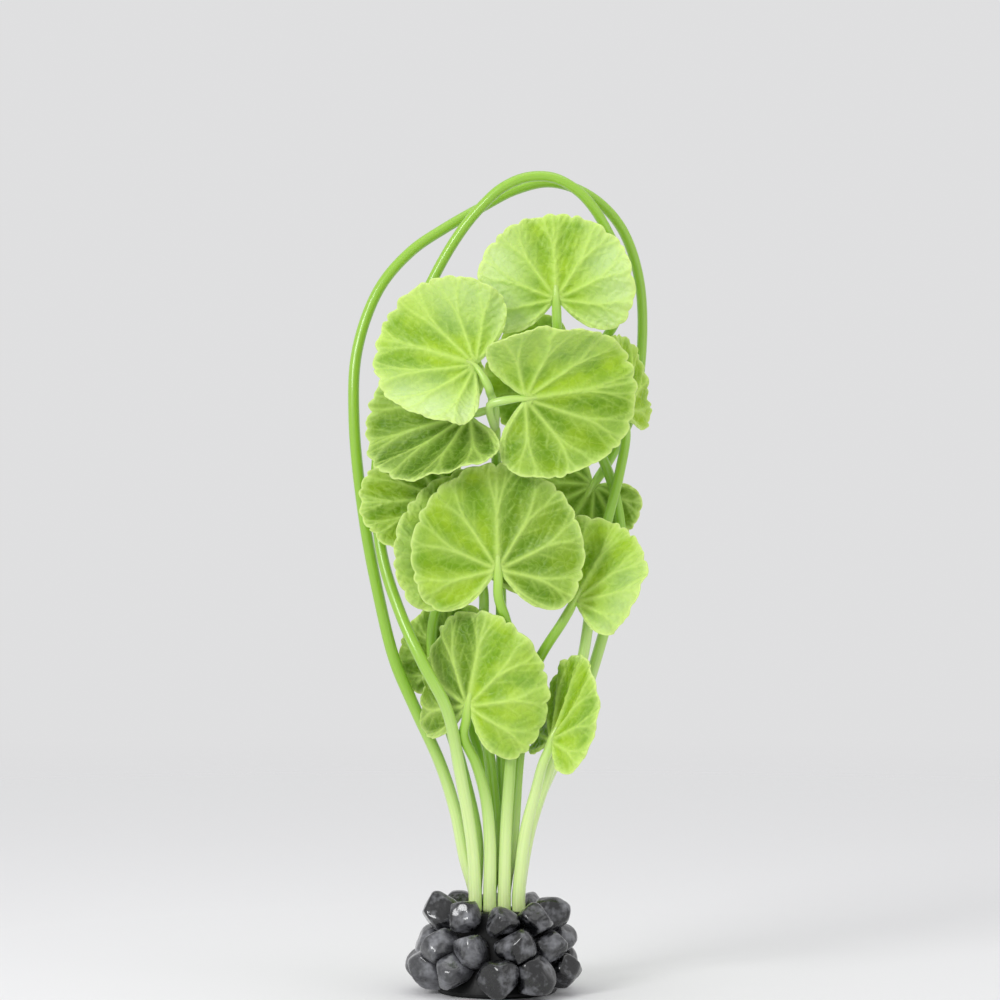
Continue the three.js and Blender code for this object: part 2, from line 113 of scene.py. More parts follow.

# A stem: the slot of its foot in the bundle (column and row), the leaf that it carries, the
# height up to which it is pale, partly its own colour near the bed and partly a painted
# highlight that reaches higher on the lit stems and stays low on those in shade, and the route
# of its middle, in mm
STEMS = {
    "arch_outer": dict(foot=(-1.5, 0), leaf="back_middle", pale_and_lit_to=52, route=(
        (-6.4, 0.4, 26.6), (-8.4, 1.8, 36.2), (-11.4, 4, 45.4), (-16.6, 6, 56.6),
        (-20.6, 6.2, 66), (-23.8, 5.8, 79), (-26.8, 6, 95), (-28.8, 6.8, 114.6),
        (-28.2, 8.6, 128.6), (-23.8, 10.4, 141), (-17.4, 11.6, 148.6), (-10.4, 12.2, 153.4),
        (-3.4, 12.6, 157.4), (4, 12.8, 161.2), (11, 13, 162.6), (18.6, 13.3, 160),
        (24.8, 13.5, 154), (28.6, 13.6, 144), (29.4, 13.4, 130), (27.2, 12, 115.6))),
    "arch_inner": dict(foot=(-1.5, -1), leaf="back_upper", pale_and_lit_to=62, route=(
        (-4.8, -3.4, 28.6), (-7.4, -6.4, 45), (-10, -8.6, 57.4), (-14.6, -7.8, 66.2),
        (-19.2, -4.2, 76), (-23.2, 1.2, 88.6), (-24.2, 4.6, 104.6), (-21.4, 5.4, 122.6),
        (-12.4, 6.4, 143.8), (-7, 6.6, 152.8), (-3, 6.6, 157.6), (1, 6.6, 161.2),
        (5.8, 6.6, 163.3), (11.2, 6.6, 163.3), (16, 6.6, 160.8), (19.4, 6.6, 157.2),
        (22.6, 7, 151.8), (25.4, 8.2, 145.6), (24.4, 9.8, 135.4))),
    "fork": dict(foot=(0.5, 1), leaf=None, pale_and_lit_to=36, route=(
        (1, 2.2, 38.6), (1, 0.8, 58.6), (0.8, -0.6, 78.6), (0.2, -2.6, 98.6),
        (-0.2, -4.8, 108), (-0.3, -6.4, 113.8))),
    "centre": dict(foot=(0.5, -1), leaf="centre", pale_and_lit_to=48, route=(
        (1.8, -3.4, 33), (2.8, -4.4, 48), (3.4, -5, 62), (2, -7.2, 74))),
    "folded_centre": dict(foot=(-0.5, -1), leaf="folded_centre", pale_and_lit_to=44, route=(
        (-1.4, -3.6, 30), (-2.2, -4.4, 39), (-4.2, -5.8, 46.4))),
    "folded_right": dict(foot=(1.5, -1), leaf="folded_right", pale_and_lit_to=70, route=(
        (5.6, -3.4, 32), (7.8, -4.9, 41))),
    "right_edge": dict(foot=(1.5, 0), leaf="right_edge", pale_and_lit_to=90, route=(
        (6.6, 0.2, 32.6), (11, 0.8, 46), (15, 1.2, 58), (17.4, 1.6, 68),
        (19.2, 2.2, 80), (21.6, 2.8, 92), (24.4, 3.4, 103))),
    "lower_right": dict(foot=(0.5, 0), leaf="lower_right", pale_and_lit_to=44, route=(
        (3.1, -0.2, 31), (4.6, -1, 49), (7.6, -2.2, 65))),
    "lower_left": dict(foot=(-1.5, 1), leaf="lower_left", pale_and_lit_to=36, route=(
        (-4, 3.4, 30), (-7.2, 4.8, 45), (-12, 6.8, 60.6), (-13, 6.4, 73),
        (-7.6, 4, 88))),
    "behind_centre": dict(foot=(-0.5, 0), leaf="behind_centre", pale_and_lit_to=32, route=(
        (-0.2, -0.2, 29), (-1, -0.6, 43), (-2.8, -1.8, 57), (-2.8, -4, 70))),
    "top_right": dict(foot=(1.5, 1), leaf="top_right", pale_and_lit_to=80, route=(
        (7.6, 4, 36), (12.6, 5, 47.6), (17.2, 5.6, 58), (20.6, 5.6, 68.6),
        (23.4, 5.6, 79), (25, 6, 90), (23.4, 6.2, 101), (19, 5.4, 112),
        (14.6, 3, 122.6), (12.4, 0, 130))),
    "back_lower": dict(foot=(-0.5, 1), leaf="back_lower", pale_and_lit_to=32, route=(
        (-1, 4.8, 31), (-2.8, 7.4, 44), (-5.4, 9.2, 53))),
}

# In mm: between the slots of two feet, the straight rise of a foot, the straight run to a leaf,
# the places along the midrib that a stem or a petiole runs through, and its radius at the last
FOOT_SPACING = 2.9
FOOT_RISE = 3
LEAF_RUN_IN = 3
STEM_IN_LEAF = (0.6, 3, 7)
PETIOLE_IN_LEAF = (0.4, 3, 7)
TIP_IN_LEAF = 0.25
# In mm: the stretches over which the foot and the neck of a stem narrow, to shares of its radius
FOOT_TAPER, FOOT_SHARE = 14, 0.9
NECK_START, NECK_END, NECK_SHARE = 9, 5, 0.62
# Radii of a petiole by the share of its length, as shares of its own radius
PETIOLE_RADII = ((0, 0.9), (0.5, 1), (0.68, NECK_SHARE))
# The rings of a stem's round end, and in mm, between which distances from its tip it turns paler
DOME_RINGS = 6
PALE_NECK = (16, 3)

# The three short petioles that part at the top of the forked stem, each with its leaf
PETIOLES = {
    "upper_left": ((-0.4, -7.8, 117.6), (-1.4, -8.1, 120), (-1.6, -9.6, 121)),
    "centre_right": ((-1.4, -9.8, 117.6), (0.8, -10.6, 118.4), (3.9, -11, 118.9)),
    "left": ((-0.7, -5.9, 116.4), (-2.2, -5.6, 116.5), (-3.9, -5.5, 116)),
}
# Where they start, from the stem's end, and the height up to which they are pale, in mm
PETIOLE_START = (0, 0.5, -1.6)
PETIOLE_PALE_TO = 150

# Rings of pebbles round the bed: how many, how far out, how high, half sizes and first angle
PEBBLE_RINGS = {
    "low": dict(count=10, radius=13.6, height=4.6, half=(4.6, 4.7, 4.4), first=-90),
    "middle": dict(count=9, radius=12.4, height=10.5, half=(4.4, 4.4, 3.9), first=-72),
    "high": dict(count=8, radius=10.7, height=15.9, half=(4.4, 4.1, 3.9), first=-88),
}
# How far a pebble departs from its even place, size and tilt, and how fast that changes with its
# seed, which grows by a step from one pebble to the next
PEBBLE_SEED_STEP = 2.4
PEBBLE_WANDER = {
    "out": (0.5, 2.1), "up": (0.9, 2.7), "turn": (5, 3.3),
    "growth": (0.13, 1.9), "nod": (28, 1), "tilt": (20, 1.7),
}
# In shares of a pebble: the height of its lumps, the depth of its pits, and of its worn faces how
# far out they lie, by how much that differs, and how soft their edges are
LUMP_HEIGHT = 0.07
PIT_DEPTH = 0.016
FACE_OUT, FACE_SPREAD, FACE_SOFTNESS = 0.81, 0.1, 0.065
# Pebbles with their middles nearer than this, in mm, are worn against each other
NEIGHBOUR_REACH = 11
# The broken face of one pebble, which catches the light: the way it looks, and how far out it is
BROKEN_FACES = {"high_08": ((-0.27, -0.9, 0.335), 2.9)}

# In mm: the cone of the resin that the pebbles lie against, and the round space for the stems
BED_TOP_RADIUS = 7.2
BED_FOOT_HEIGHT = 1.2
THROAT_RADIUS = 6.9
# The profile of the resin, in mm, from the middle of its underside to the middle of its top
BED_PROFILE = (
    (0, 0), (4, 0), (8, 0), (11.2, 0), (11.8, 0.15), (12, 0.4), (12, 0.9), (11.8, 1.3), (11, 3.2),
    (9.6, 8), (8.4, 12.6), (7.2, 16), (6.9, 16.4), (6.2, 16.5), (4, 16.5), (2, 16.5), (0, 16.5))
BED_SIDES = 96
# How often the resin swells round the bed, and how far, in mm
SWELLS = 9
SWELL_HEIGHT = 0.14

# The floor: its rings in mm, its sides, and the distances in m between which it fades
FLOOR_RINGS = (0, 60, 200, 400, 700)
FLOOR_SIDES = 96
FLOOR_FADE = (0.15, 0.65)

# The soft lights: place, width and height in mm, and power in W
LIGHTS = {
    "key": ((-420, -560, 420), (240, 240), 2.3),
    "fill": ((620, -520, 320), (500, 500), 0.5),
    "top": ((0, -60, 700), (600, 420), 0.8),
}
LIGHT_TARGET = (0, 0, 90)
# The nearest and the farthest that the camera sees, in m
CAMERA_CLIP = (0.05, 20)

FRONT = np.array((0, -1, 0))
DOWN = np.array((0, 0, -1))


def screen(red, green, blue):
    """Linear colour for screen values from 0 to 255, by the usual screen curve."""
    share = np.array((red, green, blue)) / 255
    linear = np.where(share <= 0.04045, share / 12.92, ((share + 0.055) / 1.055) ** 2.4)
    return tuple(linear.tolist())


def length_property(name, description, default_mm):
    return bpy.props.FloatProperty(
        name=name, description=description, default=default_mm * MM, min=0, precision=5,
        unit="LENGTH", subtype="DISTANCE")


def count_property(name, description, default, least):
    return bpy.props.IntProperty(name=name, description=description, default=default, min=least)


def share_property(name, description, default):
    return bpy.props.FloatProperty(
        name=name, description=description, default=default, min=0, max=1, subtype="FACTOR")


def colour_property(name, what, red, green, blue):
    return bpy.props.FloatVectorProperty(
        name=name, description=f"Colour of {what}", default=screen(red, green, blue), min=0,
        max=1, size=3, subtype="COLOR")


class LeafSettings(bpy.types.PropertyGroup):
    """Sizes and colours of the leaf blades."""

    thickness: length_property("Thickness", "How thick a blade is", 0.7)
    vein_height: length_property("Vein height", "How far the main veins stand out", 0.34)
    pleat: length_property("Pleat", "How far the blade rises and falls between main veins", 0.42)
    scallops: count_property("Scallops", "Scallops round the margin of a blade", 26, 6)
    scallop_depth: share_property("Scallop depth", "Depth of a scallop as a share of reach", 0.036)
    columns: count_property("Columns", "Mesh columns to each scallop", 14, 4)
    colour: colour_property("Blade", "the blade", 160, 196, 34)
    patch: colour_property("Patch", "its darker patches", 120, 164, 16)
    # The deep and the pale lobe colours are painted shade and a painted highlight, standing in for
    # shadow from other leaves and for glare
    painted_shade: colour_property("Deep", "the deepest lobes", 74, 114, 2)
    pale: colour_property("Pale", "the palest lobes", 212, 236, 168)
    vein: colour_property("Vein", "the veins", 198, 228, 116)
    margin: colour_property("Margin", "the thin margin", 208, 236, 138)


class StemSettings(bpy.types.PropertyGroup):
    """Sizes and colours of the stems and petioles."""

    foot_radius: length_property("Foot radius", "Radius of a stem at its foot", 1.37)
    tip_radius: length_property("Tip radius", "Radius of a stem where its leaf begins", 0.98)
    petiole_radius: length_property("Petiole radius", "Radius of the forked petioles", 0.85)
    spacing: length_property("Spacing", "Distance between two rings of the mesh", 0.9)
    sides: count_property("Sides", "Sides of a stem", 16, 6)
    colour: colour_property("Stem", "the stems among the leaves", 152, 198, 62)
    # Foot: pale stems near the bed, partly their own colour and partly a painted highlight on the
    # lit stems
    foot_and_highlight_colour: colour_property("Foot", "the stems near the bed", 222, 244, 168)
    tip_colour: colour_property("Tip", "a stem where its leaf begins", 190, 224, 110)


class PebbleSettings(bpy.types.PropertyGroup):
    """Sizes and colours of the pebbles and the bed."""

    rows: count_property("Rows", "Rows of a pebble", 38, 8)
    faces: count_property("Faces", "Worn faces of a pebble", 12, 0)
    roundness: length_property("Roundness", "How round the edges of a worn face are", 0.3)
    colour: colour_property("Pebble", "the pebbles", 14, 15, 17)
    light: colour_property("Light", "their lighter patches", 128, 129, 134)
    resin: colour_property("Resin", "the resin", 9, 10, 10)


class StageSettings(bpy.types.PropertyGroup):
    """The backdrop, the lights and the camera."""

    distance: length_property("Distance", "From the camera to the plant", 900)
    across: length_property("Across", "Width of the view at the plant", 200)
    aim_right: length_property("Aim right", "Middle of the view, to the right", 0.6)
    aim_up: length_property("Aim up", "Middle of the view, above the ground", 98.6)
    elevation: bpy.props.FloatProperty(
        name="Elevation", description="Height of the camera above the horizon",
        default=np.radians(1.5), unit="ROTATION", subtype="ANGLE")
    backdrop: colour_property("Backdrop", "the floor and backdrop", 234, 234, 235)
    glow: bpy.props.FloatProperty(
        name="Glow", description="Light of the room on every side", default=0.9, min=0)


class PennywortSettings(bpy.types.PropertyGroup):
    """All settings of the pennywort."""

    leaf: bpy.props.PointerProperty(type=LeafSettings)
    stem: bpy.props.PointerProperty(type=StemSettings)
    pebble: bpy.props.PointerProperty(type=PebbleSettings)
    stage: bpy.props.PointerProperty(type=StageSettings)


def unit(vectors):
    return vectors / np.linalg.norm(vectors, axis=-1, keepdims=True)


def smooth_step(low, high, values):
    """Goes from 0 at low to 1 at high along 3t^2 - 2t^3."""
    t = np.clip((values - low) / (high - low), 0, 1)
    return t * t * (3 - 2 * t)


def turned_about(points, axis, angle):
    """The points turned about the axis: along stays, and across turns by the cosine and sine."""
    axis = unit(np.asarray(axis, float))
    along = (points @ axis)[..., None] * axis
    across = points - along
    return along + across * np.cos(angle) + np.cross(axis, across) * np.sin(angle)


def full_turn(steps):
    return 2 * np.pi * np.arange(steps) / steps


def carried_round(radius, height, turn):
    """A profile in radius and height, carried round the upright axis by cosine and sine."""
    return np.stack(np.broadcast_arrays(radius * np.cos(turn), radius * np.sin(turn), height),
                    axis=-1)


def distances_along(points):
    """How far each point of a line lies from its first, along the line."""
    steps = np.linalg.norm(np.diff(points, axis=0), axis=1)
    return np.concatenate(((0,), np.cumsum(steps)))


def grid_faces(rows, columns, closed):
    """Row, column and point number of the four corners of every cell of a grid. In a closed one
    the last column joins the first, where a corner's column is the number after the last."""
    across = columns if closed else columns - 1
    row, column = np.meshgrid(np.arange(rows - 1), np.arange(across), indexing="ij")
    row = row.ravel()[:, None] + np.array((0, 0, 1, 1))
    column = column.ravel()[:, None] + np.array((0, 1, 1, 0))
    return row, column, row * columns + column % columns


def into_scene(name, data):
    """Puts a mesh, light or camera into the scene as a new object."""
    thing = bpy.data.objects.new(name, data)
    bpy.context.scene.collection.objects.link(thing)
    return thing


class Finish:
    """A material in the making: short calls that add nodes and join them to its shader."""

    def __init__(self, name):
        self.material = bpy.data.materials.new(name)
        self.material.use_nodes = True
        self.tree = self.material.node_tree
        self.shader = self.tree.nodes["Principled BSDF"]
        self.places = self.tree.nodes.new("ShaderNodeTexCoord")

    def give(self, socket, value):
        if isinstance(value, bpy.types.NodeSocket):
            self.tree.links.new(value, socket)
        elif isinstance(value, (int, float)) or len(value) == len(socket.default_value):
            socket.default_value = value
        else:
            socket.default_value = (*value, 1)

    def node(self, kind, output=0, **values):
        """Adds a node, sets its options and sockets by name, and returns one of its outputs."""
        node = self.tree.nodes.new(kind)
        for name, value in values.items():
            socket = name.replace("_", " ").title()
            if socket in node.inputs:
                self.give(node.inputs[socket], value)
            else:
                setattr(node, name, value)
        return node.outputs[output]

    def attribute(self, name):
        return self.node("ShaderNodeAttribute", "Fac", attribute_name=name)

    def noise(self, scale, detail):
        return self.node("ShaderNodeTexNoise", vector=self.places.outputs["Object"], scale=scale,
                         detail=detail)

    def span(self, value, low, high, out_low=0, out_high=1):
        """The value moved from the range low to high into the range out_low to out_high."""
        return self.node("ShaderNodeMapRange", value=value, from_min=low, from_max=high,
                         to_min=out_low, to_max=out_high)

    def math(self, operation, first, second):
        node = self.tree.nodes.new("ShaderNodeMath")
        node.operation = operation
        self.give(node.inputs[0], first)
        self.give(node.inputs[1], second)
        return node.outputs[0]

    def blend(self, share, first, second):
        """The first colour where share is 0, and the second where it is 1."""
        return self.node("ShaderNodeMix", 2, data_type="RGBA", factor=share, a=first, b=second)

    def bump(self, height, distance):
        self.give(self.shader.inputs["Normal"],
                  self.node("ShaderNodeBump", height=height, distance=distance))

    def shade(self, **values):
        """Sets sockets of the shader, such as base_color or roughness."""
        for name, value in values.items():
            socket = name.replace("_", " ").title().replace("Ior", "IOR")
            self.give(self.shader.inputs[socket], value)


def leaf_finish(settings):
    """Soft satin plastic that lets light through, with a faint net of veins in low pillows."""
    finish = Finish("leaf_plastic")
    patches = finish.noise(170, 5)
    flat = finish.places.outputs["UV"]
    drift = finish.node("ShaderNodeTexNoise", "Color", scale=22, detail=2, vector=flat)
    bent = finish.node("ShaderNodeMix", 1, data_type="VECTOR", factor=0.05, a=flat, b=drift)
    cells = finish.node("ShaderNodeTexVoronoi", "Distance", feature="DISTANCE_TO_EDGE",
                        vector=bent, scale=30)
    net = finish.span(cells, 0, 0.12, 1, 0)
    tone = finish.attribute("tone")
    colour = finish.blend(finish.span(patches, 0.38, 0.62), settings.patch, settings.colour)
    # Painted light: each lobe is painted towards the pale highlight colour or the deep shade
    # colour by its per-lobe value from -1 to 1
    colour = finish.blend(finish.span(tone, 0, 1), colour, settings.pale)
    colour = finish.blend(finish.span(tone, 0, -1, 0, 0.85), colour, settings.painted_shade)
    # Pleat crests by the main veins are painted towards the vein colour: partly the veins' own
    # paler colour, partly painted light on the crests and painted shade in the valleys
    for place, most, tint in (
            (finish.attribute("ridge"), 0.3, settings.vein),
            (finish.attribute("vein"), 0.75, settings.vein), (net, 0.13, settings.vein),
            (finish.attribute("margin"), 0.85, settings.margin)):
        colour = finish.blend(finish.math("MULTIPLY", place, most), colour, tint)
    finish.shade(base_color=colour, roughness=finish.span(patches, 0.3, 0.7, 0.36, 0.5),
                 subsurface_weight=0.25, subsurface_radius=(0.9, 1, 0.35),
                 subsurface_scale=1.5 * MM, ior=1.46, specular_ior_level=0.3)
    grain = finish.math("MULTIPLY", finish.noise(2600, 2), 0.15)
    pillow = finish.span(cells, 0, 0.3)
    finish.bump(finish.math("ADD", pillow, grain), 0.08 * MM)
    return finish.material


def stem_finish(settings):
    """Glossier plastic, paler towards the leaf and towards the bed, with faint lines along the
    stem.
    Near the bed the paleness is partly its own colour and partly a painted highlight on the lit
    stems.
    """
    finish = Finish("stem_plastic")
    lines = finish.node("ShaderNodeTexNoise", scale=9, detail=3, vector=finish.node(
        "ShaderNodeMapping", vector=finish.places.outputs["UV"], scale=(0.25, 3, 1)))
    # Pale near the bed: partly the stems' own colour, partly a painted highlight that reaches
    # higher on the lit stems
    colour = finish.blend(finish.attribute("footward"), settings.colour, settings.foot_and_highlight_colour)
    colour = finish.blend(finish.span(lines, 0.35, 0.75, 0, 0.3), colour,
                          tuple(0.66 * part for part in settings.colour))
    colour = finish.blend(finish.attribute("leafward"), colour, settings.tip_colour)
    finish.shade(base_color=colour, roughness=finish.span(lines, 0.3, 0.7, 0.24, 0.36),
                 subsurface_weight=0.3, subsurface_radius=(0.8, 1, 0.3),
                 subsurface_scale=2 * MM, ior=1.48, coat_weight=0.5, coat_roughness=0.1)
    finish.bump(lines, 0.05 * MM)
    return finish.material


def pebble_finish(settings):
    """Dark stone, clouded and flecked with grey, under a thin lacquer."""
    finish = Finish("pebbles")
    patches = finish.noise(330, 7)
    fine = finish.noise(1300, 4)
    share = finish.math("ADD", finish.span(patches, 0.45, 0.74), finish.attribute("shade"))
    share = finish.math("ADD", share, finish.span(fine, 0.5, 0.8, 0, 0.3))
    colour = finish.blend(finish.span(share, 0, 1), settings.colour, settings.light)
    finish.shade(base_color=colour, roughness=finish.span(fine, 0.3, 0.7, 0.2, 0.46),
                 specular_ior_level=0.3, coat_weight=0.9, coat_roughness=0.08)
    finish.bump(finish.math("ADD", patches, finish.math("MULTIPLY", fine, 0.35)), 0.1 * MM)
    return finish.material


def resin_finish(settings):
    """Dark cast resin with a soft gloss and a few small pits."""
    finish = Finish("resin")
    cast = finish.noise(320, 5)
    colour = finish.blend(finish.span(cast, 0.4, 0.7), settings.resin,
                          tuple(1.8 * part for part in settings.resin))
    finish.shade(base_color=colour, roughness=finish.span(cast, 0.3, 0.7, 0.45, 0.65),
                 specular_ior_level=0.3)
    finish.bump(cast, 0.2 * MM)
    return finish.material


def new_piece(name, points, faces, node, material, uv=None, values=None):
    """Writes points in mm and four-cornered faces to a mesh with its UV map and point values, and
    lets the piece ride on the body in place of its solid. Points that coincide become one, each
    face is cut into two triangles, and a triangle that is only a line then is left out."""
    points = points.reshape(-1, 3)
    places = np.round(points / WELD).astype(np.int64)
    first, same = np.unique(places, axis=0, return_index=True, return_inverse=True)[1:]
    halves = np.array(((0, 1, 2), (0, 2, 3)))
    triangles = same.ravel()[faces[:, halves].reshape(-1, 3)]
    whole = (triangles != np.roll(triangles, 1, axis=1)).all(axis=1)
    mesh = bpy.data.meshes.new(name)
    mesh.from_pydata((points[first] * MM).tolist(), [], triangles[whole].tolist())
    if uv is not None:
        uv = uv[:, halves].reshape(-1, 3, 2)[whole].astype(np.float32)
        mesh.uv_layers.new(name="flat").data.foreach_set("uv", uv.ravel())
    for kind, numbers in (values or {}).items():
        layer = mesh.attributes.new(kind, "FLOAT", "POINT")
        layer.data.foreach_set("value", np.ravel(numbers)[first].astype(np.float32))
    mesh.shade_smooth()
    mesh.materials.append(material)
    piece = into_scene(name, mesh)
    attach(piece, "root")
    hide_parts(node)


def leaf_frame(leaf):
    """The midrib's direction, the direction across it, and the direction out of the upper face.
    The upper face looks to the front, square to the midrib, and is then rolled about it."""
    heading, lean, roll = np.radians((leaf["heading"], leaf["lean"], leaf["roll"]))
    midrib = np.array((np.cos(heading) * np.cos(lean), -np.sin(lean),
                       np.sin(heading) * np.cos(lean)))
    flat = unit(FRONT - (FRONT @ midrib) * midrib)
    out = turned_about(flat, midrib, roll)
    return midrib, np.cross(out, midrib), out


def blade_outline(leaf, columns):
    """Angle from the midrib and reach of the smooth outline at even steps along it. The reach
    falls by the square of the angle up to the shoulder. From there the lobe is a quarter turn
    that comes back to the petiole's end, so its reach falls by a cosine."""
    last = np.radians(180 - leaf["notch"])
    turn = np.radians(LOBE_TURN)
    shoulder = last - turn
    lobe = turn * np.pi / 2 / (shoulder + turn * np.pi / 2)
    share = np.linspace(-1, 1, OUTLINE_POINTS)
    side = np.abs(share)
    phi = np.clip((side - 1 + lobe) / lobe, 0, 1) * np.pi / 2
    angle = np.where(phi > 0, shoulder + turn * np.sin(phi), shoulder * side / (1 - lobe))
    reach = leaf["length"] * (1 - SHOULDER_DROP * (angle / shoulder) ** 2) * np.cos(phi)
    angle = np.sign(share) * angle
    flat = np.stack((reach * np.cos(angle), reach * np.sin(angle) * leaf["width"]), axis=1)
    travelled = distances_along(flat)
    wanted = np.linspace(0, travelled[-1], columns + 1)
    return np.interp(wanted, travelled, angle), np.interp(wanted, travelled, reach)


def bend(along, height, curvature):
    """Rolls a flat direction onto an arc of that curvature, and carries the height with it."""
    if abs(curvature) < 1e-6:
        return along, height
    radius = 1 / curvature
    turn = along * curvature
    return (radius - height) * np.sin(turn), radius - (radius - height) * np.cos(turn)


def on_blade(leaf, u, v, height):
    """Places flat blade coordinates: the margin ripples with the angle round the petiole's end,
    the blade is cupped across its midrib, arched along it, and set in its own frame."""
    midrib, across, out = leaf_frame(leaf)
    reach = np.hypot(u, v) / leaf["length"]
    phase = RIPPLE_WAVES * np.arctan2(v, u) + leaf["heading"]
    wave = leaf["ripple"] * reach ** 3 * np.sin(phase)
    side, lifted = bend(v, height + wave, leaf["cup"])
    ahead, raised = bend(u, lifted, leaf["arch"])
    return (np.array(leaf["at"]) + ahead[..., None] * midrib + side[..., None] * across
            + raised[..., None] * out)


def vein_field(leaf, angle, reach, share):
    """Nearness to the veins, from 0 to 1, by lines in angle and share of the reach. The main veins
    leave the petiole's end, each parts into two and each part again, and side veins leave them
    aslant, on both sides in turn, up to the middle between two main veins. A vein's section is a
    bell curve that narrows outwards. Returns the main veins, the side veins, and a wave that is
    highest on the main veins."""
    last = np.radians(180 - leaf["notch"])
    spacing = 2 * (last - np.radians(LAST_VEIN)) / (MAIN_VEINS - 1)
    across = reach * share
    fine = np.zeros_like(angle)
    bold = np.zeros_like(angle)

    def trace(middle, width):
        return np.exp(-(np.abs(angle - middle) * across / width) ** 2)

    for number in range(MAIN_VEINS):
        odd = np.sin(2.3 * number + leaf["heading"])
        middle = (number - (MAIN_VEINS - 1) / 2) * spacing + 0.05 * odd * share ** 2
        first = 0.25 * spacing * smooth_step(FORKS[0] + 0.08 * odd, 1.05, share)
        for side in (-1, 1):
            second = 0.12 * spacing * smooth_step(FORKS[1] - 0.06 * side * odd, 1.1, share)
            for twig in (-1, 1):
                bold = np.maximum(bold, trace(middle + side * first + twig * second,
                                              VEIN_WIDTH - VEIN_TAPER * share))
            for step in range(SIDE_VEINS):
                root = 0.24 + 0.19 * step + 0.04 * side + 0.03 * odd
                aside = 0.7 * np.clip(share - root, 0, 1) / np.maximum(share, 0.05)
                line = trace(middle + side * aside, SIDE_VEIN_WIDTH)
                line = line * (share > root) * smooth_step(0.54, 0.4, aside / spacing)
                fine = np.maximum(fine, line)
    bold = bold * (1 - 0.45 * smooth_step(0.25, 1, share))
    midrib = trace(0, MIDRIB_WIDTH - MIDRIB_TAPER * share) * (1 - 0.5 * share ** 2)
    return np.maximum(bold, midrib), fine, np.cos(2 * np.pi * angle / spacing)


def distances_to_margin(flat):
    """Shortest distance from each point of a flat grid to its last row, the margin, against three
    times as many points along it."""
    columns = flat.shape[1] - 1
    margin = np.stack([np.interp(np.linspace(0, columns, 3 * columns), np.arange(columns + 1),
                                 flat[-1, :, axis]) for axis in (0, 1)], axis=1)
    nearest = [np.sqrt(((row[:, None, :] - margin) ** 2).sum(axis=2).min(axis=1))
               for row in flat[:-1]]
    return np.stack((*nearest, np.zeros(columns + 1)))


def rounded(distance, radius):
    """Share of the radius at a distance from a rounded end: a quarter circle, then 1."""
    return np.sqrt(1 - np.clip(1 - distance / radius, 0, 1) ** 2)


def blade_grid(leaf, settings):
    """The flat grid of a blade. Its columns are straight lines to even steps along the outline,
    and its rows are shares of their length. The lines start a little ahead of the petiole's end,
    so no face there is too small. Scallops are rounded bites out of the reach, wider and narrower
    in turn. Returns the share of the line and the two coordinates of every point, its angle,
    reach and share of that as seen from the petiole's end, and the scallops of every column."""
    columns = settings.scallops * settings.columns
    outline_angle, outline_reach = blade_outline(leaf, columns)
    step, angle = np.meshgrid(LEAF_ROWS, outline_angle, indexing="ij")
    seed = leaf["heading"]
    along = np.arange(columns + 1) / settings.columns
    warped = along + 0.22 * np.sin(1.7 * along + seed) + 0.12 * np.sin(4.1 * along - seed)
    warped = (warped - warped[0]) * along[-1] / (warped[-1] - warped[0])
    scallop = np.abs(np.sin(np.pi * warped))
    depth = settings.scallop_depth * (1 + 0.35 * np.sin(2.6 * along + 2 * seed))
    inset = 1 - depth * (1 - scallop ** 0.75) * smooth_step(0.7, 1, step)
    u = step * outline_reach * inset * np.cos(angle) + GRID_START * (1 - step)
    v = step * outline_reach * inset * np.sin(angle) * leaf["width"]
    angle = np.arctan2(v / leaf["width"], u)
    reach = np.interp(angle, outline_angle, outline_reach)
    share = np.hypot(u, v / leaf["width"]) / np.maximum(reach, GAP)
    return step, u, v, angle, reach, share, scallop


def painted_lobe_light(leaf, angle, share):
    """The painted light and shade of the left and the right lobe, from -1, painted shade, to 1, a
    painted highlight. A painted highlight grows outwards from the petiole's end and from the
    midrib, and painted shade lies evenly over its lobe."""
    left, right = leaf["tone"]
    tone = left + (right - left) * smooth_step(0.25, -0.25, angle)
    lobe = smooth_step(0.1, 0.9, share) * smooth_step(0.1, 1.1, np.abs(angle))
    return tone * np.where(tone > 0, lobe, 1)


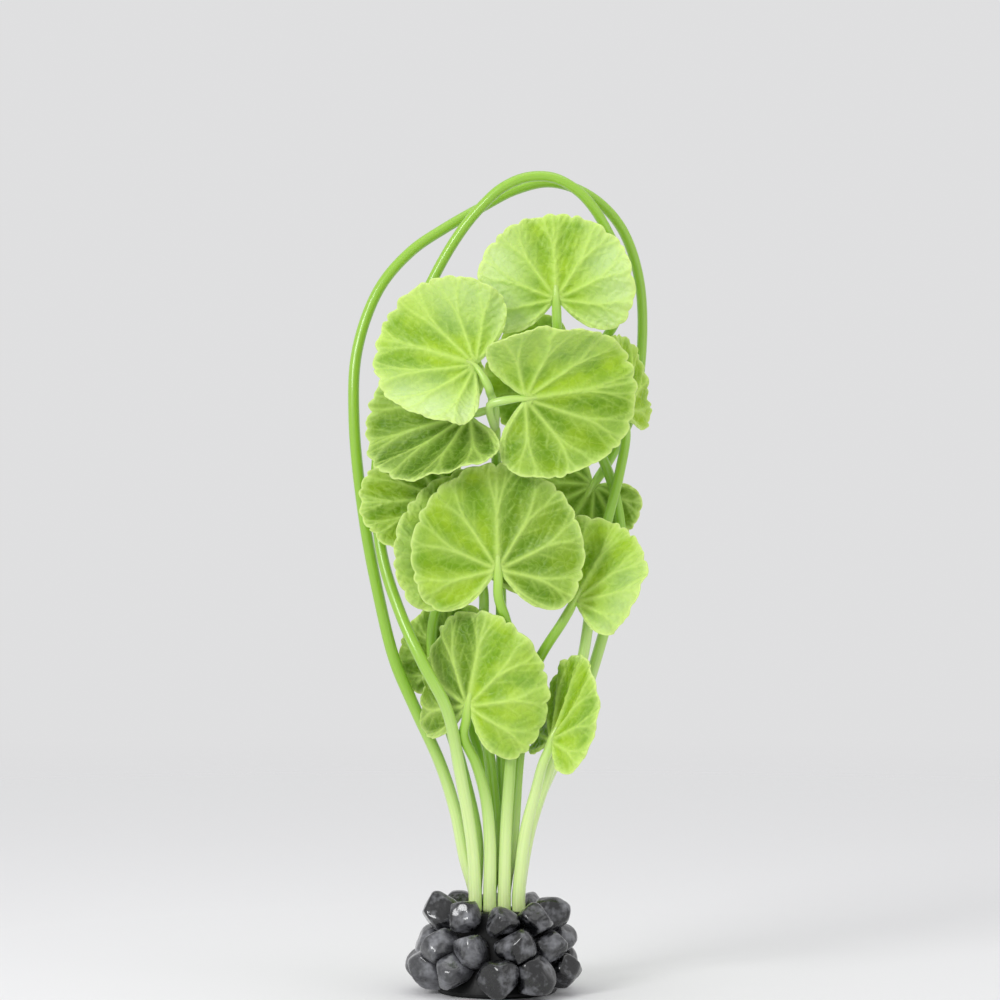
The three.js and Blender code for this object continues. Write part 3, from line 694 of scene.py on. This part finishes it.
def build_leaf(name, leaf, settings, material):
    """A blade as two skins over one grid. The half thickness thins towards the margin and follows
    a quarter circle there, so the skins meet. Veins, pleats, dimples and a wavy margin are heights
    by angle and share of the reach."""
    step, u, v, angle, reach, share, scallop = blade_grid(leaf, settings)
    seed = leaf["heading"]
    flat = np.stack((u, v), axis=-1)
    inside = distances_to_margin(flat)
    thinned = MARGIN_SHARE + (1 - MARGIN_SHARE) * smooth_step(0.2, 4, inside)
    wall = settings.thickness / MM / 2 * thinned * rounded(inside, EDGE_ROUND)
    bold, fine, wave = vein_field(leaf, angle, reach, share)
    edge = smooth_step(0, 0.8, inside)
    root = np.exp(-(reach * share / 4) ** 2)
    ridge = edge * settings.vein_height / MM * (bold * (1 + 0.8 * root) + 0.3 * fine)
    crest = 0.5 + 0.5 * wave
    dimple = 0.22 * np.sin(3.1 * u + seed) * np.sin(2.6 * v - seed)
    dimple += 0.16 * np.sin(4.7 * v + 1.9 * u + 2 * seed)
    pleat = settings.pleat / MM * (crest ** 1.5 - 0.45 + dimple) * smooth_step(0.1, 0.7, share)
    frill = 0.25 * share ** 3 * np.sin(19 * angle + 2.2 * seed)
    frill += 0.35 * smooth_step(0.75, 1, step) * (scallop - 0.6)
    wave = (pleat + frill) * smooth_step(0, 2.5, np.hypot(u, v))
    top = on_blade(leaf, u, v, wave + wall + ridge)
    bottom = on_blade(leaf, u, v, wave - wall - 0.5 * ridge)
    cells = grid_faces(*share.shape, closed=False)[2]
    faces = np.vstack((cells[:, ::-1], cells + share.size))
    uv = (flat.reshape(-1, 2) / UV_WIDTH + 0.5)[faces % share.size]
    vein = np.maximum(bold, 0.3 * fine)
    rim = 1 - 0.5 * smooth_step(0.1, 0.5, inside) - 0.5 * smooth_step(0.3, 1.8, inside)
    # Pleat crests, painted paler than the valleys: partly the veins' own colour, partly painted
    # light and shade
    raised = crest * smooth_step(0.1, 0.5, share)
    # Painted light and shade: each lobe's value from -1, painted shade, to 1, a painted highlight
    tone = painted_lobe_light(leaf, angle, share)
    values = {"vein": (vein, 0.6 * vein), "ridge": (raised, raised), "margin": (rim, rim),
              "tone": (tone, tone)}
    new_piece(f"blade_{name}", np.stack((top, bottom)), faces, f"leaf_{name}",
              material, uv, values)


def smooth_route(points, stations):
    """Points along a centripetal Catmull-Rom curve through the given points, at the distances
    that stations returns for the curve's length, and those distances. Between two given points
    it is a cubic, and the slopes at its ends come from the neighbours, with steps that go by the
    square root of the distance."""
    given = np.asarray(points, float)
    padded = np.vstack((2 * given[0] - given[1], given, 2 * given[-1] - given[-2]))
    before, start, end, after = padded[:-3], padded[1:-2], padded[2:-1], padded[3:]
    a, b, c = (np.sqrt(np.linalg.norm(q - p, axis=1))[:, None]
               for p, q in ((before, start), (start, end), (end, after)))
    leave = b * ((start - before) / a - (end - before) / (a + b) + (end - start) / b)
    arrive = b * ((end - start) / b - (after - start) / (b + c) + (after - end) / c)
    t = np.linspace(0, 1, ROUTE_POINTS)[None, :, None]
    start, end, leave, arrive = (x[:, None, :] for x in (start, end, leave, arrive))
    curve = (start + leave * t + (3 * (end - start) - 2 * leave - arrive) * t ** 2
             + (2 * (start - end) + leave + arrive) * t ** 3)
    curve = np.vstack([curve[0], *curve[1:, 1:]])
    travelled = distances_along(curve)
    wanted = stations(travelled[-1])
    return np.stack([np.interp(wanted, travelled, curve[:, k]) for k in range(3)], axis=1), wanted


def tube(route, radius, sides):
    """A circle of the radius round each point of the route, square to it and measured from the
    direction towards the front."""
    slope = unit(np.gradient(route, axis=0))
    side = unit(FRONT - (slope @ FRONT)[:, None] * slope)
    other = np.cross(slope, side)
    turn = full_turn(sides)
    circle = (np.cos(turn)[None, :, None] * side[:, None, :]
              + np.sin(turn)[None, :, None] * other[:, None, :])
    return route[:, None, :] + radius[:, None, None] * circle


def build_stem(name, node, points, radii, pale_and_lit_to, settings, material):
    """A tube along the smooth route, whose radius goes evenly between the given ones and closes
    in a round end at its foot and at its tip. It is pale near its leaf, and pale up to a height:
    partly its own paler colour near the bed, partly a painted highlight that reaches higher on
    the lit stems."""
    dome = radii[0][1] * (1 - np.cos(np.linspace(0, np.pi / 2, DOME_RINGS)))

    def stations(length):
        count = int((length - 2 * dome[-1]) / (settings.spacing / MM)) + 2
        middle = np.linspace(dome[-1], length - dome[-1], count)[1:-1]
        return np.concatenate((dome, middle, (length - dome)[::-1]))

    route, along = smooth_route(points, stations)
    length = along[-1]
    places, sizes = zip(*radii)
    radius = np.interp(along / length, places, sizes)
    radius = radius * rounded(along, dome[-1]) * rounded(length - along, dome[-1])
    rings = tube(route, radius, settings.sides)
    row, column, faces = grid_faces(len(route), settings.sides, closed=True)
    uv = np.stack((along[row] / UV_WIDTH, column / settings.sides), axis=-1)
    # Near the bed a stem is pale: partly its own colour, partly a painted highlight that reaches
    # higher on the lit stems and stays low on those in shade
    shares = {"leafward": smooth_step(*PALE_NECK, length - along),
              "footward": smooth_step(pale_and_lit_to + 10, 0.5 * pale_and_lit_to, route[:, 2])}
    values = {kind: np.repeat(share, settings.sides) for kind, share in shares.items()}
    new_piece(f"stalk_{name}", rings, faces, node, material, uv, values)


def along_midrib(leaf, distances):
    """Points of the midrib, which sink from the blade's upper face towards its middle."""
    distances = np.asarray(distances, float)
    return on_blade(leaf, distances, np.zeros_like(distances), 0.5 - 0.08 * distances)


def stem_route(stem, tip_radius):
    """The middle of a stem: up from its slot in the bed, along its route, in line with the midrib
    through the notch, and on into the blade, where it ends inside the midrib."""
    column, row = stem["foot"]
    x, y = column * FOOT_SPACING, row * FOOT_SPACING
    points = [(x, y, bed_high[2] - 1), (x, y, bed_high[2] + GAP), (x, y, bed_high[2] + FOOT_RISE)]
    points += stem["route"]
    if stem["leaf"]:
        leaf = LEAVES[stem["leaf"]]
        midrib = leaf_frame(leaf)[0]
        clear = (tip_radius + GAP) / np.tan(np.radians(leaf["notch"])) + 2 * GAP
        points += [np.array(leaf["at"]) - midrib * d for d in (clear + LEAF_RUN_IN, clear)]
        points += list(along_midrib(leaf, STEM_IN_LEAF))
    return np.array(points, float)


def build_stems(settings, material):
    foot, tip, petiole = (x / MM for x in
                          (settings.foot_radius, settings.tip_radius, settings.petiole_radius))
    for name, stem in STEMS.items():
        route = stem_route(stem, tip)
        length = distances_along(route)[-1]
        radii = [(0, foot), (FOOT_TAPER / length, FOOT_SHARE * foot), (1, tip)]
        if stem["leaf"]:
            radii[2:] = [(1 - NECK_START / length, tip),
                         (1 - NECK_END / length, NECK_SHARE * tip), (1, TIP_IN_LEAF)]
        build_stem(name, f"stem_{name}", route, radii, stem["pale_and_lit_to"], settings, material)
    fork = np.array(STEMS["fork"]["route"][-1])
    for name, points in PETIOLES.items():
        leaf = LEAVES[name]
        route = np.array([fork + PETIOLE_START, *points, *along_midrib(leaf, PETIOLE_IN_LEAF)])
        radii = [(place, share * petiole) for place, share in PETIOLE_RADII] + [(1, TIP_IN_LEAF)]
        build_stem(f"petiole_{name}", f"petiole_{name}", route, radii, PETIOLE_PALE_TO, settings,
                   material)


def pebble_list():
    """Seed, turn, centre and half sizes of every pebble, with its name."""
    pebbles = []
    for ring_name, ring in PEBBLE_RINGS.items():
        for index in range(ring["count"]):
            seed = PEBBLE_SEED_STEP * index + ring["height"]
            wander = {kind: most * np.sin(rate * seed)
                      for kind, (most, rate) in PEBBLE_WANDER.items()}
            turn = np.radians(ring["first"] + 360 * index / ring["count"] + wander["turn"])
            out = np.array((np.cos(turn), np.sin(turn), 0))
            centre = (ring["radius"] + wander["out"]) * out
            centre[2] = ring["height"] + wander["up"]
            pebbles.append(dict(
                name=f"{ring_name}_{index + 1:02d}", seed=seed, turn=turn, out=out, centre=centre,
                half=np.array(ring["half"]) * (1 + wander["growth"]),
                nod=np.radians(wander["nod"]), tilt=np.radians(wander["tilt"])))
    return pebbles


def worn_back(points, direction, limit, softness):
    """Moves points that lie beyond a plane back onto it. The move is a soft ramp, the softness
    times log(1 + e^(beyond / softness)), so the new face has a round edge."""
    beyond = (points @ direction - limit) / softness
    move = softness * np.logaddexp(0, beyond)
    return points - move[..., None] * direction


def squeezed(points, centre, node):
    """The points moved towards the centre, on each side by one factor, until they are all in the
    node's box."""
    low, high = (np.array(corner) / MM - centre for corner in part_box(node))
    from_centre = points - centre
    every = from_centre.reshape(-1, 3)
    factor = np.where(from_centre > 0, np.minimum(1, high / every.max(axis=0)),
                      np.minimum(1, low / every.min(axis=0)))
    return centre + from_centre * factor


def build_pebble(pebble, pebbles, settings, material):
    """A ball, squared off by a sum of third powers, made lumpy by sines and worn to a few flat
    faces, given three half sizes, turned, and fitted against the ground, the bed and its
    neighbours."""
    latitude = np.linspace(0, np.pi, settings.rows + 1)[:, None]
    ball = carried_round(np.sin(latitude), np.cos(latitude), full_turn(2 * settings.rows))
    x, y, z = np.moveaxis(ball, -1, 0)
    seed = pebble["seed"]
    fullness = np.abs(x) ** 3 + np.abs(y) ** 3 + np.abs(z) ** 3
    lump = 1 + LUMP_HEIGHT * np.sin(3 * x + seed) * np.cos(2.6 * y - seed)
    points = ball * (0.95 * lump / fullness ** (1 / 6))[..., None]
    soft = settings.roundness / MM
    for number in range(settings.faces):
        facing = unit(np.array((np.sin(2.1 * number + seed), np.cos(3.7 * number - seed),
                                np.sin(5.3 * number + 1.3 * seed))))
        points = worn_back(points, facing, FACE_OUT + FACE_SPREAD * np.sin(1.7 * number + seed),
                           FACE_SOFTNESS)
    pits = np.sin(8 * x - 2 * seed) * np.sin(7 * z + seed) * np.sin(9 * y + seed)
    pits += 0.5 * np.sin(17 * x + seed) * np.sin(15 * y - 2 * seed) * np.sin(19 * z)
    points = points * (1 + PIT_DEPTH * pits)[..., None] * pebble["half"]
    points = turned_about(points, (0, 1, 0), pebble["nod"])
    points = turned_about(points, (1, 0, 0), pebble["tilt"])
    points = turned_about(points, (0, 0, 1), pebble["turn"] - np.pi / 2) + pebble["centre"]
    if pebble["name"] in BROKEN_FACES:
        facing, distance = BROKEN_FACES[pebble["name"]]
        facing = unit(np.array(facing))
        points = worn_back(points, facing, pebble["centre"] @ facing + distance, soft / 2)
    points = worn_back(points, DOWN, -GAP - 0.1, soft / 2)
    slope = (bed_high[0] - BED_TOP_RADIUS) / (bed_high[2] - BED_FOOT_HEIGHT)
    cone = unit(pebble["out"] - slope * DOWN)
    rim = BED_TOP_RADIUS * pebble["out"] - bed_high[2] * DOWN
    points = worn_back(points, -cone, -(rim @ cone), soft)
    points = worn_back(points, -pebble["out"], -THROAT_RADIUS, soft)
    for other in pebbles:
        apart = other["centre"] - pebble["centre"]
        if other is not pebble and np.linalg.norm(apart) < NEIGHBOUR_REACH:
            towards = unit(apart)
            middle = (other["centre"] + pebble["centre"]) / 2
            points = worn_back(points, towards, middle @ towards + 0.05, soft)
    name = pebble["name"]
    points = squeezed(points, pebble["centre"], f"pebble_{name}")
    faces = grid_faces(*points.shape[:2], closed=True)[2][:, ::-1]
    shade = np.full(points.shape[:2], 0.22 * np.sin(5.1 * seed))
    new_piece(f"stone_{name}", points, faces, f"pebble_{name}", material,
              values={"shade": shade})


def build_bed(material):
    """The resin as a turned body. Its sides swell by sines of the turn, where it has run between
    the pebbles."""
    last = len(BED_PROFILE) - 1
    fine = np.linspace(0, last, 8 * last + 1)
    radius, height = (np.interp(fine, np.arange(last + 1), x) for x in zip(*BED_PROFILE))
    turn = full_turn(BED_SIDES)
    swell = SWELL_HEIGHT * np.sin(SWELLS * turn + 1.3) * smooth_step(1.5, 5, height)[:, None]
    around = radius[:, None] * (1 - 0.03 * swell ** 2) + swell * (radius > 6.5)[:, None]
    points = carried_round(np.minimum(around, bed_high[0]), height[:, None], turn)
    faces = grid_faces(*points.shape[:2], closed=True)[2]
    new_piece("bed", points, faces, "resin_bed", material)


def build_backdrop(settings):
    """A wide round floor that fades into the light of the room, so no edge shows from any side."""
    points = carried_round(np.array(FLOOR_RINGS)[:, None], 0, full_turn(FLOOR_SIDES))
    faces = grid_faces(*points.shape[:2], closed=True)[2][:, ::-1]
    mesh = bpy.data.meshes.new("backdrop")
    mesh.from_pydata((points.reshape(-1, 3) * MM).tolist(), [], faces.tolist())
    finish = Finish("backdrop")
    distance = finish.node("ShaderNodeVectorMath", "Value", operation="LENGTH",
                           vector=finish.places.outputs["Object"])
    finish.shade(base_color=settings.backdrop, roughness=0.8, specular_ior_level=0.2,
                 alpha=finish.span(distance, *FLOOR_FADE, 1, 0))
    mesh.materials.append(finish.material)
    piece = into_scene("backdrop", mesh)


def aim(thing, place, target):
    """Puts a light or camera at the place, in mm, and points it at the target."""
    thing.location = np.array(place) * MM
    thing.rotation_mode = "QUATERNION"
    towards = (np.array(target) - np.array(place)).tolist()
    thing.rotation_quaternion = Vector(towards).to_track_quat("-Z", "Y")


def add_softbox(name, place, size, power):
    light = bpy.data.lights.new(name, "AREA")
    light.shape = "RECTANGLE"
    light.size, light.size_y = (x * MM for x in size)
    light.energy = power
    aim(into_scene(name, light), place, LIGHT_TARGET)


class PENNYWORT_OT_bed(bpy.types.Operator):
    """Casts the resin bed that stems and pebbles are set in"""

    bl_idname = "pennywort.bed"
    bl_label = "Resin bed"

    def execute(self, context):
        build_bed(resin_finish(context.scene.pennywort.pebble))
        return {"FINISHED"}


class PENNYWORT_OT_pebbles(bpy.types.Operator):
    """Lays three rings of worn pebbles round the bed"""

    bl_idname = "pennywort.pebbles"
    bl_label = "Pebbles"

    def execute(self, context):
        settings = context.scene.pennywort.pebble
        material = pebble_finish(settings)
        pebbles = pebble_list()
        for pebble in pebbles:
            build_pebble(pebble, pebbles, settings, material)
        return {"FINISHED"}


class PENNYWORT_OT_stems(bpy.types.Operator):
    """Draws the stems and the forked petioles up into their leaves"""

    bl_idname = "pennywort.stems"
    bl_label = "Stems"

    def execute(self, context):
        settings = context.scene.pennywort.stem
        build_stems(settings, stem_finish(settings))
        return {"FINISHED"}


class PENNYWORT_OT_leaves(bpy.types.Operator):
    """Moulds the scalloped, veined leaf blades"""

    bl_idname = "pennywort.leaves"
    bl_label = "Leaves"

    def execute(self, context):
        settings = context.scene.pennywort.leaf
        material = leaf_finish(settings)
        for name, leaf in LEAVES.items():
            build_leaf(name, leaf, settings, material)
        return {"FINISHED"}


class PENNYWORT_OT_stage(bpy.types.Operator):
    """Sets up the pale backdrop, the soft lights and the camera"""

    bl_idname = "pennywort.stage"
    bl_label = "Stage"

    def execute(self, context):
        settings = context.scene.pennywort.stage
        build_backdrop(settings)
        for name, (place, size, power) in LIGHTS.items():
            add_softbox(name, place, size, power)
        world = bpy.data.worlds.new("room")
        world.use_nodes = True
        surroundings = world.node_tree.nodes["Background"]
        surroundings.inputs["Color"].default_value = (*settings.backdrop, 1)
        surroundings.inputs["Strength"].default_value = settings.glow
        context.scene.world = world
        context.scene.view_settings.view_transform = "Standard"
        lens = bpy.data.cameras.new("camera")
        lens.lens = lens.sensor_width * settings.distance / settings.across
        lens.clip_start, lens.clip_end = CAMERA_CLIP
        camera = into_scene("camera", lens)
        target = np.array((settings.aim_right, 0, settings.aim_up)) / MM
        back = np.array((0, -np.cos(settings.elevation), np.sin(settings.elevation)))
        aim(camera, target + back * settings.distance / MM, target)
        context.scene.camera = camera
        return {"FINISHED"}


OPERATORS = (PENNYWORT_OT_bed, PENNYWORT_OT_pebbles, PENNYWORT_OT_stems, PENNYWORT_OT_leaves,
             PENNYWORT_OT_stage)


class PENNYWORT_PT_panel(bpy.types.Panel):
    """Lists the pieces and their settings"""

    bl_idname = "PENNYWORT_PT_panel"
    bl_label = "Lawn pennywort"
    bl_space_type = "VIEW_3D"
    bl_region_type = "UI"
    bl_category = "Pennywort"

    def draw(self, context):
        settings = context.scene.pennywort
        for operator in OPERATORS:
            self.layout.operator(operator.bl_idname)
        for group in (settings.leaf, settings.stem, settings.pebble, settings.stage):
            box = self.layout.box()
            for name in group.__annotations__:
                box.prop(group, name)


CLASSES = (LeafSettings, StemSettings, PebbleSettings, StageSettings, PennywortSettings,
           *OPERATORS, PENNYWORT_PT_panel)


def register():
    for kind in CLASSES:
        bpy.utils.register_class(kind)
    bpy.types.Scene.pennywort = bpy.props.PointerProperty(type=PennywortSettings)


def unregister():
    del bpy.types.Scene.pennywort
    for kind in reversed(CLASSES):
        bpy.utils.unregister_class(kind)


def main():
    register()
    bpy.ops.pennywort.bed()
    bpy.ops.pennywort.pebbles()
    bpy.ops.pennywort.stems()
    bpy.ops.pennywort.leaves()
    bpy.ops.pennywort.stage()


if __name__ == "__main__":
    main()
